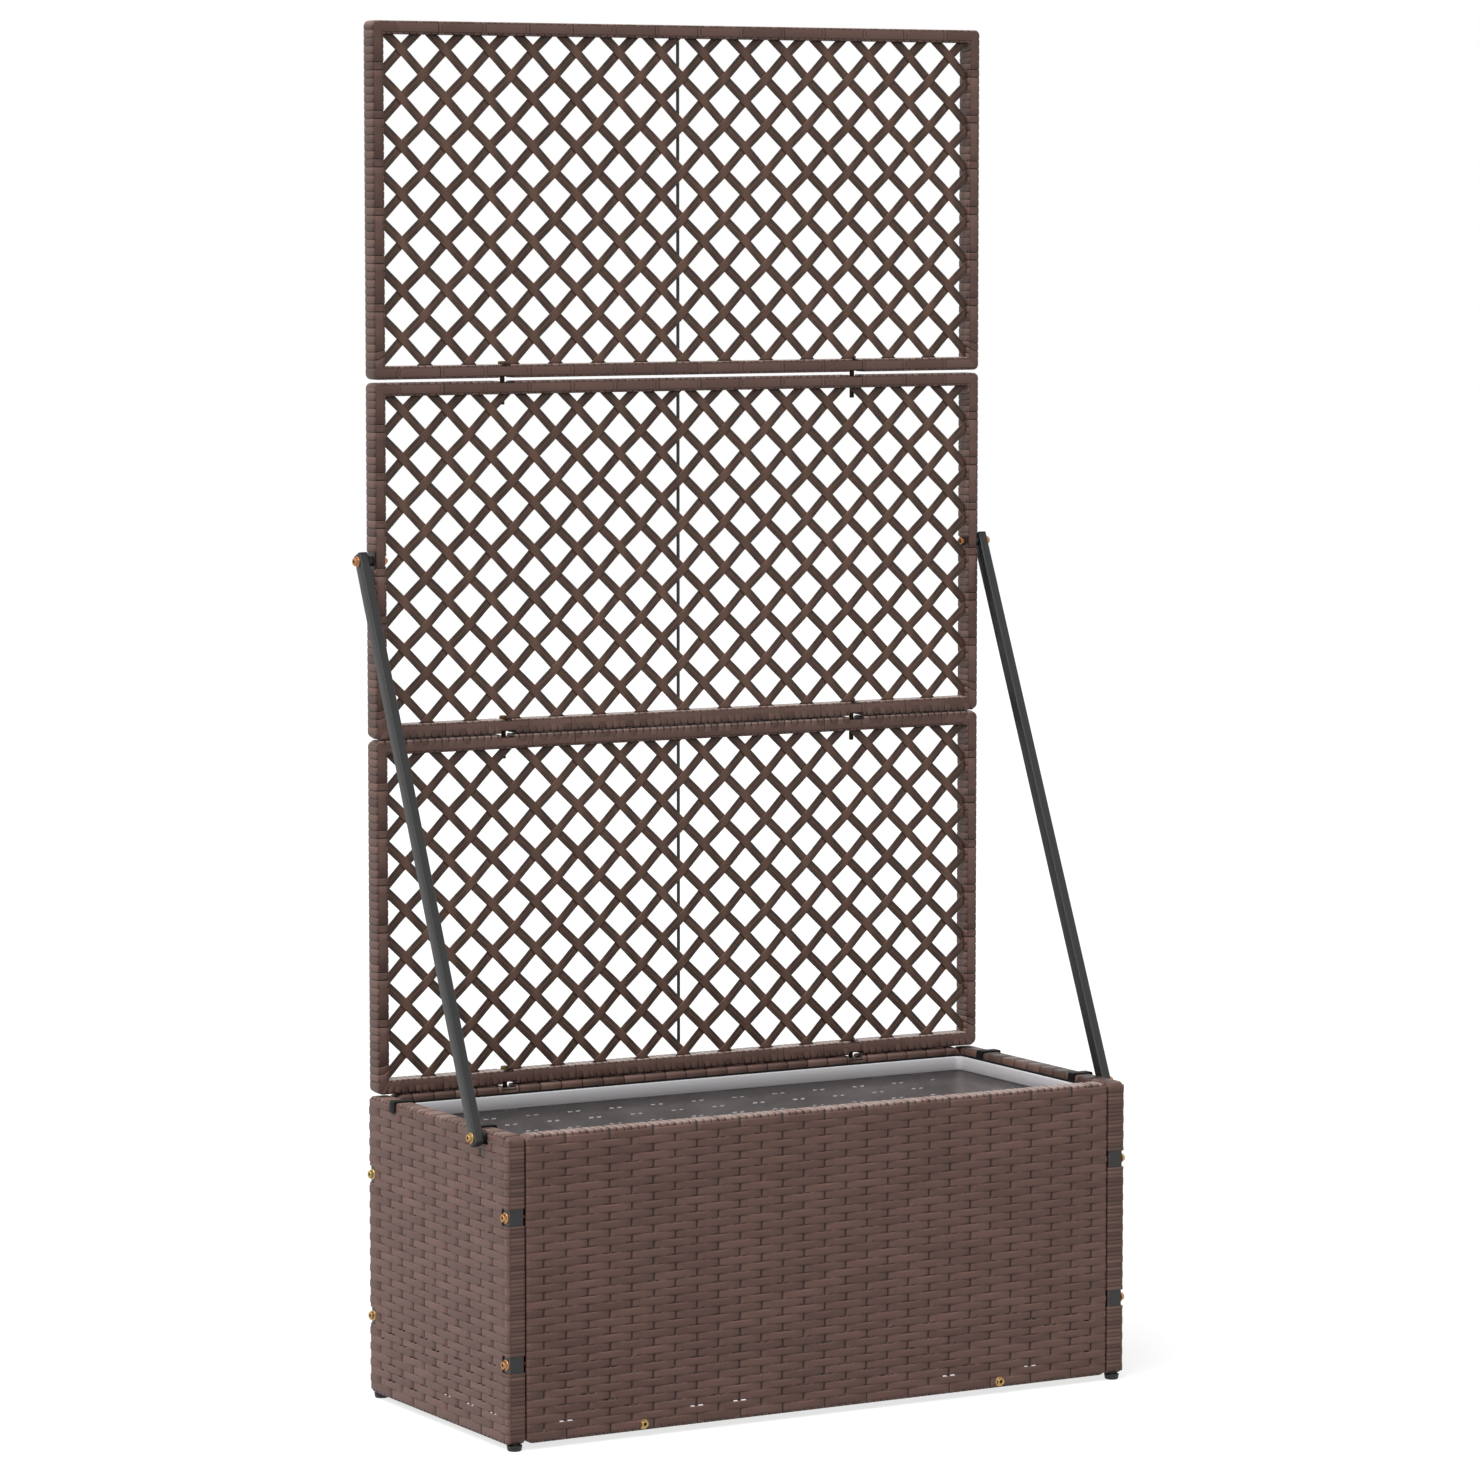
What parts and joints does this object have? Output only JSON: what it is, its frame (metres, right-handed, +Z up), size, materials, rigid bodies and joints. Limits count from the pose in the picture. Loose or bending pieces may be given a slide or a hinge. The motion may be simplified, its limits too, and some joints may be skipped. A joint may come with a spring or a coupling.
{
  "type": "planter with trellis",
  "caption": "Woven planter box on feet with a lift-out liner, three stacked lattice trellis panels at its back and a slanting strut on each side",
  "frame": {"origin": "middle of the footprint, on the floor under the feet", "axes": "+Z up, -Y towards the front, +X to the right, with the trellis at the back on the +Y side"},
  "size_m": [0.8798, 0.364, 1.6315],
  "materials": {
    "strip": "satin",
    "steel": "satin",
    "zinc": "satin",
    "black_plastic": "matte",
    "liner_plastic": "satin"
  },
  "bodies": {
    "planter": {"left_side_frame": "steel", "right_side_frame": "steel", "front_frame": "steel", "back_frame": "steel", "left_side_weave": "strip", "right_side_weave": "strip", "front_weave": "strip", "back_weave": "strip", "front_left_foot": "black_plastic", "front_right_foot": "black_plastic", "back_left_foot": "black_plastic", "back_right_foot": "black_plastic", "front_left_lower_bolt": "zinc", "front_left_upper_bolt": "zinc", "front_right_lower_bolt": "zinc", "front_right_upper_bolt": "zinc", "back_left_lower_bolt": "zinc", "back_left_upper_bolt": "zinc", "back_right_lower_bolt": "zinc", "back_right_upper_bolt": "zinc", "left_base_bar": "steel", "right_base_bar": "steel", "front_left_bar_bolt": "zinc", "front_right_bar_bolt": "zinc", "back_left_bar_bolt": "zinc", "back_right_bar_bolt": "zinc", "trellis_bottom_frame": "steel", "trellis_middle_frame": "steel", "trellis_top_frame": "steel", "trellis_bottom_weave": "strip", "trellis_middle_weave": "strip", "trellis_top_weave": "strip", "trellis_bottom_rod": "steel", "trellis_middle_rod": "steel", "trellis_top_rod": "steel", "trellis_bottom_left_bolt": "zinc", "trellis_bottom_right_bolt": "zinc", "trellis_middle_left_bolt": "zinc", "trellis_middle_right_bolt": "zinc", "trellis_top_left_bolt": "zinc", "trellis_top_right_bolt": "zinc", "left_strut": "steel", "right_strut": "steel", "left_strut_lower_cap": "black_plastic", "left_strut_upper_cap": "black_plastic", "right_strut_lower_cap": "black_plastic", "right_strut_upper_cap": "black_plastic", "left_strut_foot_bolt": "zinc", "left_strut_top_bolt": "zinc", "right_strut_foot_bolt": "zinc", "right_strut_top_bolt": "zinc", "left_strut_foot_spacer": "black_plastic", "left_strut_top_spacer": "black_plastic", "right_strut_foot_spacer": "black_plastic", "right_strut_top_spacer": "black_plastic"},
    "liner": {"liner": "liner_plastic", "liner_hoop": "steel"}
  },
  "joints": [
    {"name": "liner_lift", "type": "slide", "parent": "planter", "child": "liner", "axis": [0, 0, 1], "range_m": [0, 0.4]}
  ]
}
